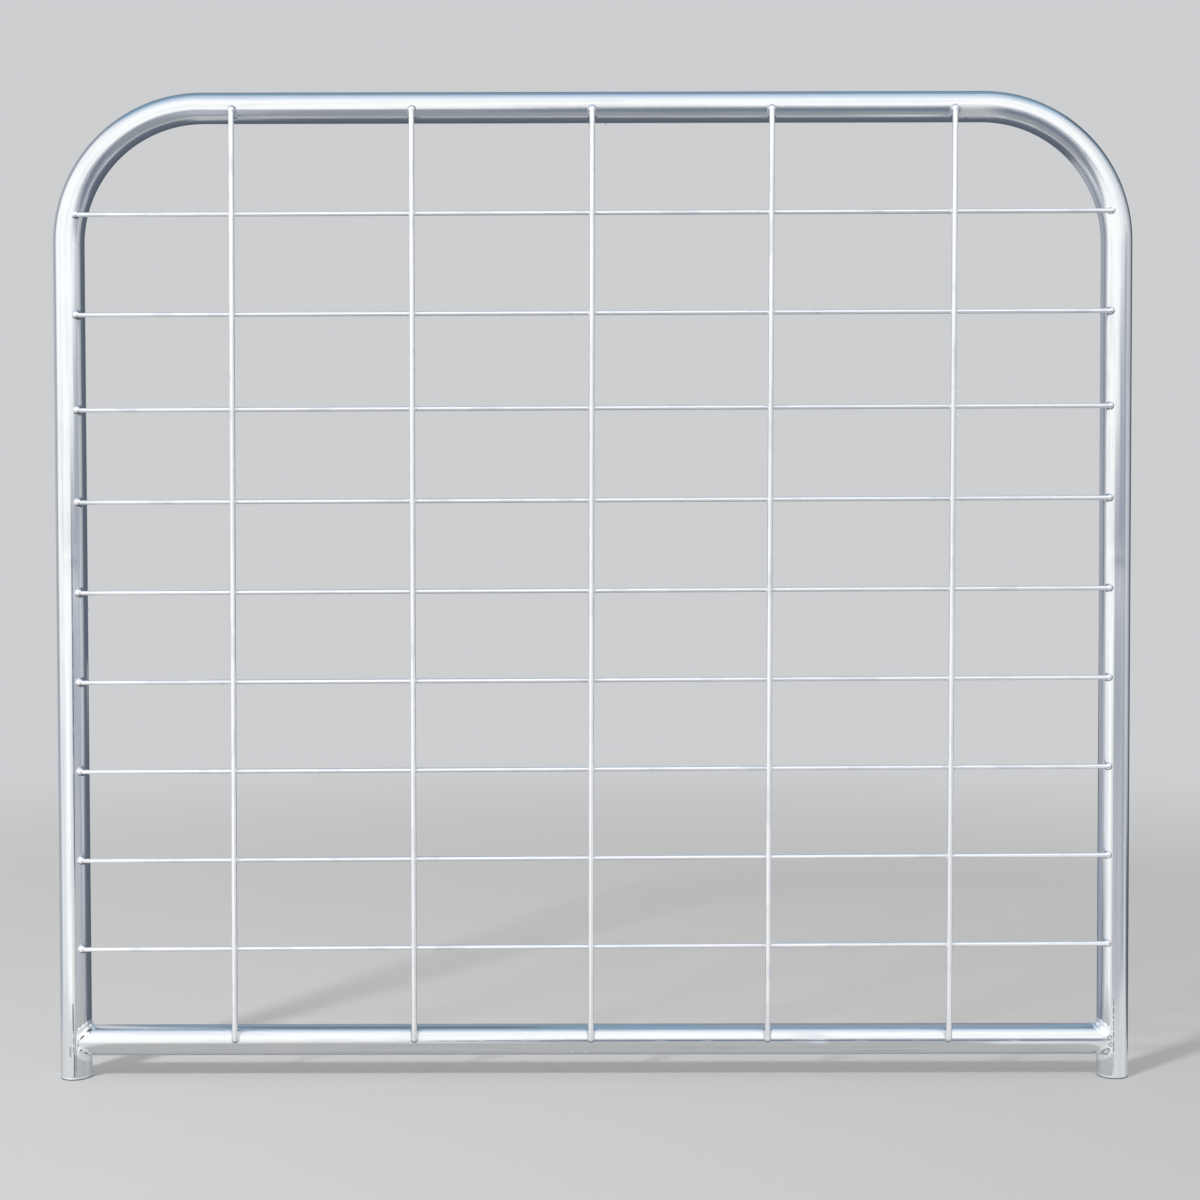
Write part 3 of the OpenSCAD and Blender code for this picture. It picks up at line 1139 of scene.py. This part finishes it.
def build_tent(studio):
    """White boards in front and above, a bright left side, and dark flags behind and on the right."""
    front = (TENT_FRONT, TENT_FRONT)
    left = (TENT_LEFT, TENT_LEFT)
    right = (TENT_RIGHT, TENT_RIGHT)
    wide = (TENT_LEFT, TENT_RIGHT)
    tall = (TENT_LOW, TENT_ROOF)
    low_x, step_x, strip_x = -0.35, 0.45, 0.56
    low_z, dusk_z, step_z = 0.28, 0.1, 0.84
    wall_board("key_board", (TENT_LEFT, low_x), front, tall, studio.white)
    wall_board("middle_board", (low_x, step_x), front, (low_z, TENT_ROOF), studio.white)
    wall_board("low_board", (low_x, step_x), front, (TENT_LOW, low_z), times(studio.white, 0.74))
    wall_board("top_board", (step_x, TENT_RIGHT), front, (step_z, TENT_ROOF), studio.white)
    wall_board("dusk_board", (strip_x, TENT_RIGHT), front, (dusk_z, step_z), studio.dusk)
    wall_board("dusk_high", (1.75, TENT_RIGHT), (TENT_FRONT + CARD_Z,) * 2, (step_z, 1.2), studio.dusk)
    wall_board("front_flag", (step_x, strip_x), front, (TENT_LOW, step_z), studio.flag)
    wall_board("left_board", left, (TENT_FRONT, 0.1), (0.3, TENT_ROOF), studio.white)
    wall_board("left_low", left, (TENT_FRONT, 0.1), (TENT_LOW, 0.3), studio.side)
    wall_board("left_flag", left, (0.5, TENT_BACK), tall, studio.dusk)
    wall_board("right_strip", right, (-0.62, -0.04), tall, times(studio.side, 0.8))
    wall_board("right_shade", right, (-1.55, -0.8), (TENT_LOW, 1.35), studio.dusk)
    wall_board("right_high", right, (TENT_FRONT, -0.62), (1.35, TENT_ROOF), studio.side)
    wall_board("right_flag", right, (0.75, TENT_BACK), tall, studio.flag)
    flat_board("roof_front", wide, (TENT_FRONT, -1.0), TENT_ROOF, studio.roof_front)
    flat_board("roof_back", wide, (-1.0, 0.02), TENT_ROOF, studio.roof_back)
    flat_board("level_far", (TENT_LEFT, 0.08), (-1.2, -0.3), OVER_EYE, times(studio.shade, 1.6))
    flat_board("level_left", (0.08, step_x), (-1.2, -0.3), OVER_EYE, studio.shade)
    flat_board("level_right", (step_x, TENT_RIGHT), (-1.6, -0.5), OVER_EYE, times(studio.flag, 1.4))
    flat_board("level_back", (step_x, TENT_RIGHT), (-0.5, -0.3), OVER_EYE, studio.shade)
    flat_board("level_under", wide, (-1.85, -0.3), UNDER_EYE, studio.white)
    foot_light = times(studio.card, 1.55)
    flat_board("left_foot_card", (-0.4, 0.0), (-0.3, 0.06), CARD_Z, foot_light)
    flat_board("floor_card", (0.0, 1.16), (-0.25, 0.06), CARD_Z, studio.card)
    flat_board("right_foot_card", (1.16, 1.6), (-0.3, 0.06), CARD_Z, foot_light)
    flat_board("right_foot_glow", (1.05, 1.16), (-0.3, -0.1), 1.5 * CARD_Z, studio.side)
    flat_board("floor_flag", (0.0, TENT_RIGHT), (0.06, 8.0), CARD_Z, studio.flag)
    # Small boards close behind the legs, each for one edge of one leg
    behind = (0.25, 0.25)
    inner = (CARD_Z, 0.3)
    wall_board("edge_card", (-0.55, -0.04), behind, (TENT_LOW, 1.3), times(studio.side, 0.8))
    wall_board("edge_flag", (0.04, 0.5), behind, (0.45, 1.07), studio.flag)
    wall_board("inner_grey", (0.72, 1.13), (0.12, 0.12), inner, studio.dusk)
    wall_board("inner_white", (0.85, 0.85), (-0.19, -0.085), inner, studio.side)


def build_lamp(studio):
    """A lamp up on the left that gives the floor a soft shadow."""
    data = bpy.data.lights.new("key_lamp", "AREA")
    data.size = 0.5
    data.energy = studio.lamp
    lamp = put("key_lamp", data)
    lamp.location = (-1.6, -2.4, 3.2)
    aim = Vector((ARCH_MIDDLE, 0.0, 0.4)) - lamp.location
    lamp.rotation_euler = aim.to_track_quat("-Z", "Y").to_euler()
    lamp.visible_camera = False
    lamp.visible_glossy = False


def build_world(studio):
    """A plain backdrop all round, bluer overhead and darker underneath."""
    world = bpy.data.worlds.new("studio")
    world.use_nodes = True
    sheet = Sheet(world.node_tree)
    height = sheet.parts(sheet.add("ShaderNodeTexCoord", output="Generated"))[2]
    stops = [(0.18, studio.nadir), (0.33, studio.pale), (0.66, studio.pale), (0.80, studio.zenith)]
    shade = sheet.add("ShaderNodeValToRGB", {"stops": stops}, {"Fac": height * 0.5 + 0.5})
    path = sheet.add("ShaderNodeLightPath").socket.node.outputs
    seen = Level(sheet, path["Is Camera Ray"])
    for kind in ("Glossy", "Transmission"):
        seen = seen + Level(sheet, path[f"Is {kind} Ray"])
    colour = sheet.blend(seen, (studio.ambient, studio.ambient, studio.ambient, 1.0), shade)
    light = sheet.add("ShaderNodeBackground", None, {"Color": colour, "Strength": 1.0})
    sheet.add("ShaderNodeOutputWorld", None, {"Surface": light})
    bpy.context.scene.world = world


def build_floor(studio):
    """A pale floor that keeps the gate's shadow and fades into the backdrop."""
    bm = bmesh.new()
    bmesh.ops.create_grid(bm, x_segments=1, y_segments=1, size=FLOOR_HALF)
    bm.transform(Matrix.Translation((ARCH_MIDDLE, 0, 0)))
    paint = Paint("floor_paint")
    x, y = paint.parts(paint.add("ShaderNodeTexCoord", output="Object"))[:2]
    far = paint.ease((x - ARCH_MIDDLE).with_side(y), 0.9, 3.2)
    near = paint.add("ShaderNodeBsdfDiffuse", None, {"Color": rgba(studio.floor)})
    mixed = paint.add("ShaderNodeMixShader", None, {0: far, 1: near, 2: paint.glow(studio.pale)})
    floor = put("floor", mesh_of("floor", bm, paint.cover(mixed)))
    floor.visible_glossy = False
    floor.visible_shadow = False


def build_camera(view):
    """The camera at the photograph's place."""
    forward = Vector(
        (
            math.sin(view.yaw) * math.cos(view.pitch),
            math.cos(view.yaw) * math.cos(view.pitch),
            math.sin(view.pitch),
        )
    )
    level = Vector((math.cos(view.yaw), -math.sin(view.yaw), 0.0))
    upright = level.cross(forward)
    right = level * math.cos(view.roll) + upright * math.sin(view.roll)
    up = upright * math.cos(view.roll) - level * math.sin(view.roll)
    data = bpy.data.cameras.new("photo_view")
    data.sensor_width = 36.0
    data.lens = view.lens
    camera = put("photo_view", data)
    turn = Matrix((right, up, -forward)).transposed().to_4x4()
    camera.matrix_world = Matrix.Translation(view.place) @ turn
    bpy.context.scene.camera = camera


class GATE_OT_stage(bpy.types.Operator):
    """Builds the camera, the floor and the studio light"""

    bl_idname = "gate.stage"
    bl_label = "Build stage"

    def execute(self, context):
        studio = look("studio_look")
        build_camera(look("photo_view"))
        build_world(studio)
        build_floor(studio)
        build_tent(studio)
        build_lamp(studio)
        context.scene.view_settings.view_transform = "Standard"
        return {"FINISHED"}


class GATE_PT_sidebar(bpy.types.Panel):
    """Lists the gate's steps"""

    bl_label = "Gate"
    bl_space_type = "VIEW_3D"
    bl_region_type = "UI"
    bl_category = "Gate"

    def draw(self, context):
        for step in STEPS:
            self.layout.operator(step.bl_idname)


GROUPS = {
    "zinc_look": ZincLook,
    "weld_sizes": WeldSizes,
    "photo_view": PhotoView,
    "studio_look": StudioLook,
}
STEPS = (
    GATE_OT_stage,
    GATE_OT_finish_tubes,
    GATE_OT_finish_wires,
    GATE_OT_weld_caps,
    GATE_OT_rail_beads,
    GATE_OT_weld_spurs,
    GATE_OT_crossing_fillets,
    GATE_OT_zinc_nubs,
)


def register():
    for group in (*GROUPS.values(), *STEPS, GATE_PT_sidebar):
        bpy.utils.register_class(group)
    for name, group in GROUPS.items():
        setattr(bpy.types.Scene, name, bpy.props.PointerProperty(type=group))


def unregister():
    for name in GROUPS:
        delattr(bpy.types.Scene, name)
    for group in (GATE_PT_sidebar, *reversed(STEPS), *reversed(GROUPS.values())):
        bpy.utils.unregister_class(group)


def clear_start_scene():
    """Removes what a new file holds beside the frame."""
    for name in ("Cube", "Light", "Camera"):
        start = bpy.data.objects.get(name)
        if start:
            bpy.data.objects.remove(start)


def main():
    clear_start_scene()
    register()
    for step in STEPS:
        area, name = step.bl_idname.split(".")
        getattr(getattr(bpy.ops, area), name)()


if __name__ == "__main__":
    main()
